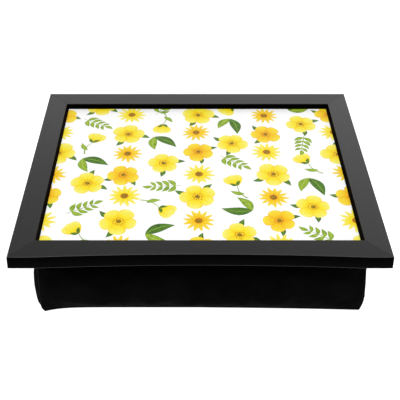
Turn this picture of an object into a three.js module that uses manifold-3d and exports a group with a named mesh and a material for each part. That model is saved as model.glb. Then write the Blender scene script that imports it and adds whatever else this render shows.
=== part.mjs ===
// A breakfast tray for the lap: a mitred, rebated frame round a printed board, held by hook-and-loop
// tape on a boxed bean-bag cushion that moulds to the knees.
// Millimetres, +Z up, front towards -Y. The origin is under the middle of the tray, on the surface
// that the cushion stands on.

import * as THREE from "three";
import { mergeGeometries, mergeVertices } from "three/addons/utils/BufferGeometryUtils.js";
import Module from "manifold-3d";

const wasm = await Module();
wasm.setup();

// Frame moulding, measured across its top
const TRAY_WIDTH = 430;
const TRAY_DEPTH = 340;
const RAIL_WIDTH = 28;
const LIP_THICKNESS = 7;
const REBATE_WIDTH = 8;
const SIGHT_SLOPE = 2.2;
const FOOT_SPLAY = 1;
const ARRIS_RADIUS = 0.7;
const FOOT_CHAMFER = 0.6;
const MITRE_GAP = 0.3;
const FRONT_HOLLOW = 5;

// Boards held in the rebate
const LAMINATE_THICKNESS = 0.8;
const BOARD_THICKNESS = 3;
const BACKING_THICKNESS = 3;
const BOARD_CLEARANCE = 0.5;

// V-shaped nails that draw each mitre together from below, two to a corner
const NAIL_LEG = 5;
const NAIL_THICKNESS = 0.6;
const NAIL_HEIGHT = 10;
const NAIL_MARGIN = 3.5;
const NAIL_CLEARANCE = 0.3;

// Flexible points driven into the rebate wall to hold the boards in
const POINT_WIDTH = 5.5;
const POINT_LENGTH = 15;
const POINT_BITE = 6;
const POINT_TIP = 2.5;
const POINT_THICKNESS = 0.6;
const POINT_FROM_CORNER = 75;
const POINT_SPACING = 140;
const POINT_CLEARANCE = 0.3;

// Hook tape under the backing board, and loop tape sewn on the cushion
const TAPE_LENGTH = 100;
const TAPE_WIDTH = 30;
const TAPE_THICKNESS = 1.8;
const TAPE_CORNER = 4;
const TAPE_INSET = 10;
const TAPE_GAP = 0.3;

// Bean-bag cushion
const CUSHION_HEIGHT = 81.3;
const SIDE_OVERHANG = 21;
const FRONT_OVERHANG = 7;
const FULLEST_HEIGHT = 25;
const TOP_TUCK = 3;
const SIDE_FOOT_TUCK = 7;
const FRONT_FOOT_TUCK = 1;
const FOOT_POWER = 4;
const PANEL_BULGE = 4;
const SEAM_DRAW = 3;
const CORNER_RADIUS = 12;
const SWELL_POWER = 6;
const EDGE_ROLL = 38;
const TOP_FALL = 3;
const EAR_LIFT = 0.5;
const FOOT_LIFT = 4;
const FABRIC_THICKNESS = 1.2;
const SEAM_GAP = 0.3;
const FILL_GAP = 0.3;
const UNDERSIDE_CLEARANCE = 0.7;

// How finely the round shapes are divided
const ARC_STEPS = 4;
const HOLLOW_STEPS = 20;
const CORNER_STEPS = 2;
const ROLL_STEPS = 2;
const FLAT_STEPS = 3;
const SIDE_STEPS = 10;
const MERGE_DISTANCE = 1e-4;

// Levels and sizes that follow from the ones above
const BACK_RECESS = 2 * TAPE_THICKNESS + TAPE_GAP - UNDERSIDE_CLEARANCE;
const REBATE_DEPTH = BACK_RECESS + BACKING_THICKNESS + BOARD_THICKNESS + LAMINATE_THICKNESS;
const RAIL_HEIGHT = REBATE_DEPTH + LIP_THICKNESS;
const REBATE_WALL = RAIL_WIDTH - REBATE_WIDTH;
const FRAME_UNDERSIDE = CUSHION_HEIGHT + UNDERSIDE_CLEARANCE;
const BACKING_UNDERSIDE = FRAME_UNDERSIDE + BACK_RECESS;
const BOARD_UNDERSIDE = BACKING_UNDERSIDE + BACKING_THICKNESS;
const LAMINATE_UNDERSIDE = BOARD_UNDERSIDE + BOARD_THICKNESS;
const BOARD_WIDTH = TRAY_WIDTH - 2 * (REBATE_WALL + BOARD_CLEARANCE);
const BOARD_DEPTH = TRAY_DEPTH - 2 * (REBATE_WALL + BOARD_CLEARANCE);
const CUSHION_HALF_WIDTH = TRAY_WIDTH / 2 - SIDE_OVERHANG;
const CUSHION_HALF_DEPTH = TRAY_DEPTH / 2 - FRONT_OVERHANG;
const FULLEST = FULLEST_HEIGHT / CUSHION_HEIGHT;

// Finishes
const finish = (color, roughness, metalness = 0) =>
  new THREE.MeshStandardMaterial({ color, roughness, metalness });
const BLACK_STAIN = finish(0x2e2e2f, 0.5);
const PRINTED_LAMINATE = finish(0xf6f3df, 0.35);
const FIBREBOARD = finish(0xa57f57, 0.85);
const HARDBOARD = finish(0x5a4029, 0.8);
const STEEL = finish(0x9a9da1, 0.35, 1);
const HOOK_TAPE = finish(0x131314, 0.8);
const LOOP_TAPE = finish(0x1a1a1b, 0.95);
const BLACK_FABRIC = finish(0x0f0d0e, 0.95);
const BEADS = finish(0xf4f4f2, 0.9);

const tray = new THREE.Group();

function piece(name, geometry, material, parent = tray) {
  const mesh = new THREE.Mesh(geometry, material);
  mesh.name = name;
  parent.add(mesh);
  return mesh;
}

// Booleans on closed geometries
function solidOf(geometry) {
  const bare = geometry.clone();
  bare.deleteAttribute("normal");
  bare.deleteAttribute("uv");
  const merged = mergeVertices(bare, MERGE_DISTANCE);
  return new wasm.Manifold(
    new wasm.Mesh({
      numProp: 3,
      vertProperties: merged.attributes.position.array,
      triVerts: new Uint32Array(merged.index.array),
    }),
  );
}

function cutAway(geometry, cutters) {
  const cut = cutters.reduce((solid, cutter) => solid.subtract(solidOf(cutter)), solidOf(geometry));
  const mesh = cut.getMesh();
  const result = new THREE.BufferGeometry();
  result.setAttribute("position", new THREE.BufferAttribute(mesh.vertProperties, 3));
  result.setIndex(new THREE.BufferAttribute(mesh.triVerts, 1));
  result.computeVertexNormals();
  return result;
}

const extrude = (shape, depth, steps = 1) =>
  new THREE.ExtrudeGeometry(shape, { depth, steps, bevelEnabled: false, curveSegments: ARC_STEPS });

// The moulding's section, across from the top of its outer face and up from the underside. The outer
// face splays out to its foot, and the sight edge slopes down towards the board.
function railSection() {
  const arrisLevel = RAIL_HEIGHT - ARRIS_RADIUS;
  const section = new THREE.Shape();
  section.moveTo(FOOT_CHAMFER - FOOT_SPLAY, 0);
  section.lineTo(REBATE_WALL, 0);
  section.lineTo(REBATE_WALL, REBATE_DEPTH);
  section.lineTo(RAIL_WIDTH + SIGHT_SLOPE, REBATE_DEPTH);
  section.absarc(RAIL_WIDTH - ARRIS_RADIUS, arrisLevel, ARRIS_RADIUS, 0, Math.PI / 2);
  section.absarc(ARRIS_RADIUS, arrisLevel, ARRIS_RADIUS, Math.PI / 2, Math.PI);
  section.lineTo(-FOOT_SPLAY, FOOT_CHAMFER);
  section.closePath();
  return section;
}

// How far the outer face is hollowed at a place along a rail: a shallow curve between the mitres
function hollowAt(place, length, hollow) {
  const halfSpan = length / 2 - RAIL_WIDTH;
  return hollow * Math.max(0, 1 - ((place - length / 2) / halfSpan) ** 2);
}

// A rail along +X from its outer corner, with +Y inwards, both ends mitred and its outer face hollowed
function mitredRail(length, hollow) {
  const along = new THREE.Vector3(1, 0, 0);
  const inwards = new THREE.Vector3(0, 1, 0);
  const up = new THREE.Vector3(0, 0, 1);
  const rail = extrude(railSection(), length, hollow > 0 ? HOLLOW_STEPS : 1);
  rail.applyMatrix4(new THREE.Matrix4().makeBasis(inwards, up, along));
  const position = rail.attributes.position;
  for (let i = 0; i < position.count; i++) {
    const inset = position.getY(i);
    const setBack = inset + MITRE_GAP / Math.SQRT2;
    const place = setBack + (position.getX(i) / length) * (length - 2 * setBack);
    position.setX(i, place);
    if (inset < REBATE_WALL / 2) position.setY(i, inset + hollowAt(place, length, hollow));
  }
  return rail;
}

// A nail seen from above: two legs at a right angle, with the bend on the mitre. grow widens it for its slot.
function nailOutline(bend, grow) {
  const out = NAIL_THICKNESS / 2 + grow;
  const tip = bend + NAIL_LEG + grow;
  const corners = [
    [bend - out, bend - out],
    [tip, bend - out],
    [tip, bend + out],
    [bend + out, bend + out],
    [bend + out, tip],
    [bend - out, tip],
  ];
  return corners.map(([x, y]) => new THREE.Vector2(x, y));
}

const NAIL_BENDS = { outer: NAIL_MARGIN, inner: REBATE_WALL - NAIL_MARGIN - NAIL_LEG };

// The slots of the nails at both ends of a rail
function nailSlots(length) {
  return Object.values(NAIL_BENDS).flatMap((bend) => {
    const start = nailOutline(bend, NAIL_CLEARANCE);
    const end = start.map((corner) => new THREE.Vector2(length - corner.x, corner.y));
    return [start, end].map((outline) =>
      extrude(new THREE.Shape(outline), NAIL_HEIGHT + 2 * NAIL_CLEARANCE).translate(0, 0, -NAIL_CLEARANCE),
    );
  });
}

// A point lies flat under the backing board, its tip driven into the rebate wall
function flexiblePoint() {
  const half = POINT_WIDTH / 2;
  const tip = REBATE_WALL - POINT_BITE;
  const tail = tip + POINT_LENGTH;
  const outline = [
    [0, tip],
    [half, tip + POINT_TIP],
    [half, tail],
    [-half, tail],
    [-half, tip + POINT_TIP],
  ];
  const shape = new THREE.Shape(outline.map(([x, y]) => new THREE.Vector2(x, y)));
  return extrude(shape, POINT_THICKNESS).translate(0, 0, BACK_RECESS - POINT_THICKNESS);
}

function pointSlot(place) {
  const width = POINT_WIDTH + 2 * POINT_CLEARANCE;
  const depth = POINT_BITE + 2 * POINT_CLEARANCE;
  const height = POINT_THICKNESS + 2 * POINT_CLEARANCE;
  const middle = BACK_RECESS - POINT_THICKNESS / 2;
  return new THREE.BoxGeometry(width, depth, height).translate(place, REBATE_WALL - POINT_BITE / 2, middle);
}

// Places along a rail: one near each corner, with the rest evenly between them
function pointPlaces(length) {
  const span = length - 2 * POINT_FROM_CORNER;
  const steps = Math.max(1, Math.round(span / POINT_SPACING));
  return Array.from({ length: steps + 1 }, (_, i) => POINT_FROM_CORNER + (span * i) / steps);
}

// Each side of the frame: its rail, its points and the nails of the corner where it starts
const SIDES = [
  { name: "front", corner: "front_left", x: -TRAY_WIDTH / 2, y: -TRAY_DEPTH / 2, hollow: FRONT_HOLLOW },
  { name: "right", corner: "front_right", x: TRAY_WIDTH / 2, y: -TRAY_DEPTH / 2, hollow: 0 },
  { name: "back", corner: "back_right", x: TRAY_WIDTH / 2, y: TRAY_DEPTH / 2, hollow: 0 },
  { name: "left", corner: "back_left", x: -TRAY_WIDTH / 2, y: TRAY_DEPTH / 2, hollow: 0 },
];

SIDES.forEach(({ name, corner, x, y, hollow }, quarter) => {
  const length = quarter % 2 === 0 ? TRAY_WIDTH : TRAY_DEPTH;
  const side = new THREE.Group();
  side.position.set(x, y, FRAME_UNDERSIDE);
  side.rotation.z = (quarter * Math.PI) / 2;
  tray.add(side);

  const places = pointPlaces(length);
  const slots = [...nailSlots(length), ...places.map(pointSlot)];
  piece(`${name}_rail`, cutAway(mitredRail(length, hollow), slots), BLACK_STAIN, side);
  for (const [which, bend] of Object.entries(NAIL_BENDS)) {
    const nail = extrude(new THREE.Shape(nailOutline(bend, 0)), NAIL_HEIGHT);
    piece(`v_nail_${corner}_${which}`, nail, STEEL, side);
  }
  places.forEach((place, i) => {
    piece(`flexi_point_${name}_${i + 1}`, flexiblePoint(), STEEL, side).position.x = place;
  });
});

// The boards stacked against the lip of the frame
function board(name, thickness, underside, material) {
  const geometry = new THREE.BoxGeometry(BOARD_WIDTH, BOARD_DEPTH, thickness);
  piece(name, geometry, material).position.z = underside + thickness / 2;
}

board("backing_board", BACKING_THICKNESS, BACKING_UNDERSIDE, HARDBOARD);
board("print_board", BOARD_THICKNESS, BOARD_UNDERSIDE, FIBREBOARD);
board("print_laminate", LAMINATE_THICKNESS, LAMINATE_UNDERSIDE, PRINTED_LAMINATE);

// The corner seams of the cushion stand furthest out at FULLEST and tuck in towards both panels.
// rise runs from 0 at the bottom seam to 1 at the top seam.
function cornerTuck(rise, footTuck) {
  return rise > FULLEST
    ? TOP_TUCK * ((rise - FULLEST) / (1 - FULLEST)) ** 2
    : footTuck * ((FULLEST - rise) / FULLEST) ** FOOT_POWER;
}

const halfWidthAt = (rise) => CUSHION_HALF_WIDTH - cornerTuck(rise, SIDE_FOOT_TUCK);
const halfDepthAt = (rise) => CUSHION_HALF_DEPTH - cornerTuck(rise, FRONT_FOOT_TUCK);

// How far the filling swells a side: fully over most of its height, and not at all at its seams
const swellAt = (rise) => 1 - Math.abs(2 * rise - 1) ** SWELL_POWER;

// How far a side stands out past the straight line between its corners, where it swells, or is drawn
// in, at its seams. share runs from -1 to 1 along the side.
function sideBow(share, rise) {
  const swell = swellAt(rise);
  return (1 - share ** 2) * (PANEL_BULGE * swell - SEAM_DRAW * (1 - swell));
}

const bottomSeamLevel = (share) => EAR_LIFT + FOOT_LIFT * (1 - share ** 2);
const TOP_SEAM_LEVEL = CUSHION_HEIGHT - TOP_FALL;

// A point of one side, in from its outer face by inset and short of its corner seams by gap.
// The corner seams run down the middle of a rounding that closes to a pinched ear at both ends.
// The front is quarter 0, and each quarter turns it on to the next side.
function sidePoint(quarter, share, rise, inset, gap) {
  const lengthwise = quarter % 2 === 0;
  const halfAlong = (lengthwise ? halfWidthAt(rise) : halfDepthAt(rise)) - inset;
  const halfAcross = (lengthwise ? halfDepthAt(rise) : halfWidthAt(rise)) - inset;
  const radius = Math.max(0, CORNER_RADIUS * swellAt(rise) - inset);
  const straight = halfAlong - radius;
  const along = share * (straight + radius * Math.SQRT1_2 - gap);
  const past = Math.max(0, Math.abs(along) - straight);
  const out = halfAcross - radius + Math.sqrt(radius ** 2 - past ** 2) + sideBow(share, rise);
  const low = bottomSeamLevel(share) + inset + gap;
  const high = TOP_SEAM_LEVEL - inset - gap;
  const level = low + rise * (high - low);
  const turned = [
    [along, -out],
    [out, along],
    [-along, out],
    [-out, -along],
  ];
  return new THREE.Vector3(...turned[quarter], level);
}

// How far a place on the top or bottom panel is into its rolled border: 0 on the flat, 1 at the seam
function borderRoll(across, along) {
  const fromSide = (1 - Math.abs(across)) * CUSHION_HALF_WIDTH;
  const fromFront = (1 - Math.abs(along)) * CUSHION_HALF_DEPTH;
  return Math.max(0, 1 - Math.min(fromSide, fromFront) / EDGE_ROLL);
}

// A point of the top panel (rise 1) or the bottom panel (rise 0), across and along from -1 to 1
function panelPoint(across, along, rise, inset, gap) {
  const x = across * (halfWidthAt(rise) - inset - gap - SEAM_DRAW * (1 - along ** 2));
  const y = along * (halfDepthAt(rise) - inset - gap - SEAM_DRAW * (1 - across ** 2));
  const roll = borderRoll(across, along) ** 2;
  const seamLift = Math.max(bottomSeamLevel(across), bottomSeamLevel(along));
  const level = rise ? CUSHION_HEIGHT - TOP_FALL * roll - inset : seamLift * roll + inset;
  return new THREE.Vector3(x, y, level);
}

// Values from -1 to 1 along a panel edge, with even steps over its corners, rolled borders and flat
function gridLines(half) {
  const stretches = [
    [0, CORNER_RADIUS, CORNER_STEPS],
    [CORNER_RADIUS, EDGE_ROLL, ROLL_STEPS],
    [EDGE_ROLL, half, FLAT_STEPS],
  ];
  const fromCorner = stretches.flatMap(([start, end, steps]) =>
    Array.from({ length: steps }, (_, i) => start + ((end - start) * i) / steps),
  );
  const shares = fromCorner.map((distance) => 1 - distance / half);
  return [...shares.map((share) => -share), 0, ...shares.reverse()];
}

const ACROSS_LINES = gridLines(CUSHION_HALF_WIDTH);
const ALONG_LINES = gridLines(CUSHION_HALF_DEPTH);
const RISE_LINES = Array.from(
  { length: SIDE_STEPS + 1 },
  (_, i) => (1 - Math.cos((Math.PI * i) / SIDE_STEPS)) / 2,
);

// Grids of points, row by row. Seen from outside the cushion, columns run to the right and rows run up.
function sideGrid(quarter, inset, gap) {
  const lines = quarter % 2 === 0 ? ACROSS_LINES : ALONG_LINES;
  return RISE_LINES.map((rise) => lines.map((share) => sidePoint(quarter, share, rise, inset, gap)));
}

function panelGrid(rise, inset, gap) {
  const lines = rise ? ACROSS_LINES : [...ACROSS_LINES].reverse();
  return ALONG_LINES.map((along) => lines.map((across) => panelPoint(across, along, rise, inset, gap)));
}

// The faces between the rows and columns of a grid
function patch(grid) {
  const columns = grid[0].length;
  const index = [];
  for (let row = 0; row + 1 < grid.length; row++) {
    for (let column = 0; column + 1 < columns; column++) {
      const near = row * columns + column;
      const far = near + columns;
      index.push(near, near + 1, far + 1, near, far + 1, far);
    }
  }
  return new THREE.BufferGeometry().setFromPoints(grid.flat()).setIndex(index);
}

const columnsOf = (grid) => grid[0].map((_, column) => grid.map((row) => row[column]));

// A closed sheet of fabric between an outer and an inner grid
function fabricSheet(outer, inner) {
  const outerColumns = columnsOf(outer);
  const innerColumns = columnsOf(inner);
  const sheet = mergeGeometries([
    patch(outer),
    patch(innerColumns),
    patch([inner[0], outer[0]]),
    patch([outer.at(-1), inner.at(-1)]),
    patch([outerColumns[0], innerColumns[0]]),
    patch([innerColumns.at(-1), outerColumns.at(-1)]),
  ]);
  sheet.computeVertexNormals();
  return sheet;
}

function fabricPanel(name, grid) {
  piece(name, fabricSheet(grid(0, SEAM_GAP), grid(FABRIC_THICKNESS, SEAM_GAP)), BLACK_FABRIC);
}

SIDES.forEach(({ name }, quarter) => {
  fabricPanel(`cushion_${name}_panel`, (inset, gap) => sideGrid(quarter, inset, gap));
});
fabricPanel("cushion_top_panel", (inset, gap) => panelGrid(1, inset, gap));
fabricPanel("cushion_bottom_panel", (inset, gap) => panelGrid(0, inset, gap));

// The beads fill the cover to just short of its panels
function beadFill() {
  const inset = FABRIC_THICKNESS + FILL_GAP;
  const sides = SIDES.map((_, quarter) => patch(sideGrid(quarter, inset, 0)));
  const fill = mergeGeometries([...sides, patch(panelGrid(1, inset, 0)), patch(panelGrid(0, inset, 0))]);
  fill.computeVertexNormals();
  return fill;
}

piece("bead_fill", beadFill(), BEADS);

// Four strips of tape near the corners of the cushion's flat top, each hook strip over its loop strip
function tapeStrip() {
  const halfLength = TAPE_LENGTH / 2 - TAPE_CORNER;
  const halfWidth = TAPE_WIDTH / 2 - TAPE_CORNER;
  const outline = new THREE.Shape();
  outline.absarc(halfLength, -halfWidth, TAPE_CORNER, -Math.PI / 2, 0);
  outline.absarc(halfLength, halfWidth, TAPE_CORNER, 0, Math.PI / 2);
  outline.absarc(-halfLength, halfWidth, TAPE_CORNER, Math.PI / 2, Math.PI);
  outline.absarc(-halfLength, -halfWidth, TAPE_CORNER, Math.PI, 1.5 * Math.PI);
  outline.closePath();
  return extrude(outline, TAPE_THICKNESS);
}

const TAPE_X = CUSHION_HALF_WIDTH - TOP_TUCK - EDGE_ROLL - TAPE_INSET - TAPE_LENGTH / 2;
const TAPE_Y = CUSHION_HALF_DEPTH - TOP_TUCK - EDGE_ROLL - TAPE_INSET - TAPE_WIDTH / 2;
const TAPE_PLACES = {
  front_left: [-TAPE_X, -TAPE_Y],
  front_right: [TAPE_X, -TAPE_Y],
  back_left: [-TAPE_X, TAPE_Y],
  back_right: [TAPE_X, TAPE_Y],
};

for (const [corner, [x, y]] of Object.entries(TAPE_PLACES)) {
  piece(`loop_tape_${corner}`, tapeStrip(), LOOP_TAPE).position.set(x, y, CUSHION_HEIGHT);
  piece(`hook_tape_${corner}`, tapeStrip(), HOOK_TAPE).position.set(x, y, BACKING_UNDERSIDE - TAPE_THICKNESS);
}

export default tray;
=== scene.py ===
# %% [markdown]
# # A breakfast tray for the lap
# The tray is a black picture-frame rim round a printed board, on a black bean-bag cushion. Its solids
# are already packed, so this lesson only dresses them: nothing here moves or resizes a part. Lengths are
# in metres. X runs to the right, Y to the back and Z up from the surface that the cushion stands on.

# %% Load the frame
import math
import random

import bmesh
import bpy
from mathutils import Matrix, Vector, noise


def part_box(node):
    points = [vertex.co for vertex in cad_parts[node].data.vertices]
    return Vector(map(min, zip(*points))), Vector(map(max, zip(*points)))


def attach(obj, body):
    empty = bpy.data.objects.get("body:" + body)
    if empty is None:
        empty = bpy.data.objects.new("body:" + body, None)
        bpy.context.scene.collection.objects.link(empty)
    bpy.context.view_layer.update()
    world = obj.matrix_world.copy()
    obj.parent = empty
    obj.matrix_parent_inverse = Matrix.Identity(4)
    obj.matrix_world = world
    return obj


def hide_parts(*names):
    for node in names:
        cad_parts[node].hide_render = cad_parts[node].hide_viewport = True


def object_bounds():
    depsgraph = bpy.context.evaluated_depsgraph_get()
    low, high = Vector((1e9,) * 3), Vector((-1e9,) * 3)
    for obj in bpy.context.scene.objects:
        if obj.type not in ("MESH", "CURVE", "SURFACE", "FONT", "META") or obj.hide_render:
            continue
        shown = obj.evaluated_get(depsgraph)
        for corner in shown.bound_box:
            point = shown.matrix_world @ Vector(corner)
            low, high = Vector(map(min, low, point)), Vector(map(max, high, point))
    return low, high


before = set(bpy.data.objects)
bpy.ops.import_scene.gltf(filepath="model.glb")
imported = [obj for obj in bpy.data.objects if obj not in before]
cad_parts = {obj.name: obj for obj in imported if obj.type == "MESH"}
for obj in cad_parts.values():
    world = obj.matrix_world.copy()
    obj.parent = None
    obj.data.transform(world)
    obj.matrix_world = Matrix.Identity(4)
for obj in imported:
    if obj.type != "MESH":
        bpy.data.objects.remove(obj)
CAD_LOW, CAD_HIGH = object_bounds()
MM = 0.001


def in_mm(lengths):
    return [round(length / MM, 1) for length in lengths]


print("packed size:", in_mm(CAD_HIGH - CAD_LOW), "mm")

# %% [markdown]
# ## The camera
# A photograph of a rectangle tells where its camera stood. The straight edges of the rim were fitted to a
# lens, and these are the values that came out: the camera stands level in front of the tray, a little to
# the left of its middle, and looks down on it. The middle of the picture lies to the right of the lens
# axis, so the lens is shifted by that much.

# %% Place the camera
IMAGE_PIXELS = 400
LENS_PIXELS = 725
SENSOR_WIDTH = 36
CAMERA_ASIDE = -14.3 * MM
CAMERA_BEFORE = 742.5 * MM
CAMERA_OVER_RIM = 566 * MM
CAMERA_PITCH = math.radians(40.15)
CAMERA_SHIFT = 0.0314

bpy.ops.object.camera_add()
camera = bpy.context.object
camera.data.sensor_width = SENSOR_WIDTH
camera.data.lens = SENSOR_WIDTH * LENS_PIXELS / IMAGE_PIXELS
camera.data.shift_x = CAMERA_SHIFT
camera.location = (CAMERA_ASIDE, -CAMERA_BEFORE, CAD_HIGH.z + CAMERA_OVER_RIM)
camera.rotation_euler.x = math.pi / 2 - CAMERA_PITCH
bpy.context.scene.camera = camera
print("lens", round(camera.data.lens, 2), "mm")

# %% [markdown]
# ## Finishes are node trees
# Each material starts from the Principled shader. Patterns read Object coordinates, which are metres in
# the tray's own frame, or a piece's UV map where the pattern has to follow the cloth or the brush. The
# helpers pass node sockets along, so that a finish reads as a recipe. What is the same all over is set on
# the shader itself.

# %% Start a finish and feed its shader
def grey(value):
    return (value, value, value)


def new_finish(name, colour, roughness, **constants):
    """A material with a plain Principled shader. Constants are set by the names of their sockets."""
    finish = bpy.data.materials.new(name)
    finish.use_nodes = True
    shader = finish.node_tree.nodes["Principled BSDF"]
    shader.inputs["Base Color"].default_value = (*colour, 1)
    shader.inputs["Roughness"].default_value = roughness
    for socket, value in constants.items():
        shader.inputs[socket.replace("_", " ")].default_value = value
    return finish


def plug(finish, value, socket):
    """Feed a node's input from another node's socket, or set it to a number or a colour."""
    if isinstance(value, bpy.types.NodeSocket):
        finish.node_tree.links.new(value, socket)
    elif socket.type == "RGBA":
        socket.default_value = (*value, 1)
    else:
        socket.default_value = value


def add_node(finish, kind, inputs, **settings):
    """Add a node, set its options, and plug its inputs by name or number."""
    node = finish.node_tree.nodes.new(kind)
    for name, value in settings.items():
        setattr(node, name, value)
    for name, value in inputs.items():
        plug(finish, value, node.inputs[name])
    return node


def feed(finish, socket, value):
    """Plug a value into the finish's shader."""
    plug(finish, value, finish.node_tree.nodes["Principled BSDF"].inputs[socket])


print("finish helpers:", [tool.__name__ for tool in (new_finish, plug, add_node, feed)])

# %% Patterns for the finishes
def coordinates(finish, output="Object", scale=(1, 1, 1)):
    source = add_node(finish, "ShaderNodeTexCoord", {}).outputs[output]
    return add_node(finish, "ShaderNodeMapping", {"Vector": source, "Scale": scale}).outputs[0]


def speckle(finish, vector, scale, detail=4, roughness=0.55):
    """Cloudy noise from 0 to 1. On Object coordinates, the scale is the number of clouds in a metre."""
    inputs = {"Vector": vector, "Scale": scale, "Detail": detail, "Roughness": roughness}
    return add_node(finish, "ShaderNodeTexNoise", inputs).outputs[0]


def ramp(finish, value, *stops):
    """Turn a value into a colour by stops of (position, colour)."""
    node = add_node(finish, "ShaderNodeValToRGB", {"Fac": value})
    elements = node.color_ramp.elements
    while len(elements) < len(stops):
        elements.new(0.5)
    for element, (position, colour) in zip(elements, stops):
        element.position = position
        element.color = (*colour, 1)
    return node.outputs[0]


def mix(finish, factor, first, second, blend="MIX"):
    """Mix two colours. A Mix node takes them at inputs 6 and 7, and gives the result at output 2."""
    inputs = {0: factor, 6: first, 7: second}
    return add_node(finish, "ShaderNodeMix", inputs, data_type="RGBA", blend_type=blend).outputs[2]


def calc(finish, operation, *values):
    return add_node(finish, "ShaderNodeMath", dict(enumerate(values)), operation=operation).outputs[0]


def split(finish, vector):
    """The X, Y and Z of a vector."""
    return add_node(finish, "ShaderNodeSeparateXYZ", {"Vector": vector}).outputs


def bump(finish, height, distance, strength=1.0):
    inputs = {"Height": height, "Distance": distance, "Strength": strength}
    feed(finish, "Normal", add_node(finish, "ShaderNodeBump", inputs).outputs[0])


print("patterns:", [tool.__name__ for tool in (speckle, ramp, mix, calc, split, bump)])

# %% [markdown]
# ## The studio
# The photograph is a studio shot on white. A white screen stands behind the tray, and the satin rails
# mirror it at a low angle, so the back rail is the brightest and the front rail the darkest. A big soft
# light hangs above. The floor is a pale sheet that glows, as on a light table, so shadows stay faint and
# the faces that look at the camera get only the light that the floor throws back. The world lights the
# tray faintly. It has a node tree too, which lets only the camera see it white, so that the sheet has no
# visible end.

# %% Lay the floor
FLOOR_SIZE = 8.0
FLOOR_GLOW = 1.0


def new_piece(name):
    """Name the primitive that was just added."""
    piece = bpy.context.object
    piece.name = name
    piece.data.name = name
    return piece


def dress(piece, finish):
    """Give a piece one finish all over."""
    piece.data.materials.clear()
    piece.data.materials.append(finish)


def pale_floor():
    glow = {"Emission_Color": (1, 1, 1, 1), "Emission_Strength": FLOOR_GLOW}
    finish = new_finish("pale_floor", grey(0.5), 0.8, Specular_IOR_Level=0.1, **glow)
    mottle = speckle(finish, coordinates(finish), 6, detail=2)
    feed(finish, "Base Color", ramp(finish, mottle, (0.3, grey(0.48)), (0.7, grey(0.52))))
    return finish


bpy.ops.mesh.primitive_plane_add(size=FLOOR_SIZE)
floor = new_piece("floor")
dress(floor, pale_floor())
print("floor", FLOOR_SIZE, "m square")

# %% Hang the lights
WORLD_STRENGTH = 0.22
LIGHTS = {
    "back_screen": {"location": (0.48, 1.6, 0.78), "size": (4.0, 1.17), "power": 18.6},
    "top_light": {"location": (0, -0.5, 1.7), "size": (2.2, 1.6), "power": 31},
}


def area_light(name, location, size, power):
    bpy.ops.object.light_add(type="AREA", location=location)
    light = bpy.context.object
    light.name = name
    light.data.shape = "RECTANGLE"
    light.data.size, light.data.size_y = size
    light.data.energy = power
    to_tray = Vector((0, 0, CAD_HIGH.z)) - Vector(location)
    light.rotation_euler = to_tray.to_track_quat("-Z", "Y").to_euler()


for name, settings in LIGHTS.items():
    area_light(name, **settings)

world = bpy.data.worlds.new("studio")
world.use_nodes = True
sky = world.node_tree.nodes["Background"]
sky.inputs["Color"].default_value = (1, 1, 1, 1)
rays = add_node(world, "ShaderNodeLightPath", {}).outputs["Is Camera Ray"]
plug(world, calc(world, "MAXIMUM", rays, WORLD_STRENGTH), sky.inputs["Strength"])
bpy.context.scene.world = world
bpy.context.scene.view_settings.view_transform = "Standard"
print("lights:", ", ".join(LIGHTS))

# %% [markdown]
# ## Black-stained moulding
# The rim is a wooden moulding, stained and lacquered black. Its top is satin charcoal with faint streaks
# of grain along each rail. Its sides and underside take a darker, matt copy of the finish, painted shade on
# the faces turned from the lights, and painted shade darkens them upwards from the foot. Painting a grain
# by hand would fit one length only, so noise is stretched along the rail instead. Each rail has its own
# depth of stain, set to how lit its top looks, so the four are partly painted light and shade; this is
# what shows the mitres. An attribute marks the arrises and the foot, and noise breaks it up, so the outer
# arrises and the foot turn a little paler, partly wear and partly a painted highlight, and the inner
# arrises turn brown.

# %% Frame finishes
GRAIN_STRETCH = 45
LONG_GRAIN = (1 / GRAIN_STRETCH, 1, 1)
SHORT_GRAIN = (1, 1 / GRAIN_STRETCH, 1)
WEAR_AND_HIGHLIGHT_TONE = grey(0.02)
ARRIS_BROWN = (0.024, 0.012, 0.009)
EDGE_SHADE_RISE = 0.5

rail_low, rail_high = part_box("front_rail")
RAIL_HEIGHT = rail_high.z - rail_low.z


def wear_and_highlight_share(finish):
    """How strongly the arris tone shows at a point: the marked arrises and foot, broken up by noise."""
    wear_and_highlight = add_node(finish, "ShaderNodeAttribute", {}, attribute_name="wear_and_highlight").outputs["Fac"]
    return calc(finish, "MULTIPLY", wear_and_highlight, speckle(finish, coordinates(finish), 140, detail=3))


def stained_face(name, stretch, stain_and_light):
    finish = new_finish(name, grey(stain_and_light), 0.4, Specular_IOR_Level=0.5)
    grain = speckle(finish, coordinates(finish, scale=stretch), 900, detail=5, roughness=0.6)
    tone = ramp(finish, grain, (0.3, grey(stain_and_light * 0.7)), (0.62, grey(stain_and_light)), (0.8, grey(stain_and_light * 1.6)))
    # The marked arrises and foot are painted paler: partly wear, partly a painted highlight.
    feed(finish, "Base Color", mix(finish, wear_and_highlight_share(finish), tone, WEAR_AND_HIGHLIGHT_TONE))
    feed(finish, "Roughness", ramp(finish, grain, (0.25, grey(0.43)), (0.75, grey(0.37))))
    bump(finish, grain, 0.02 * MM, 0.3)
    return finish


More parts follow.
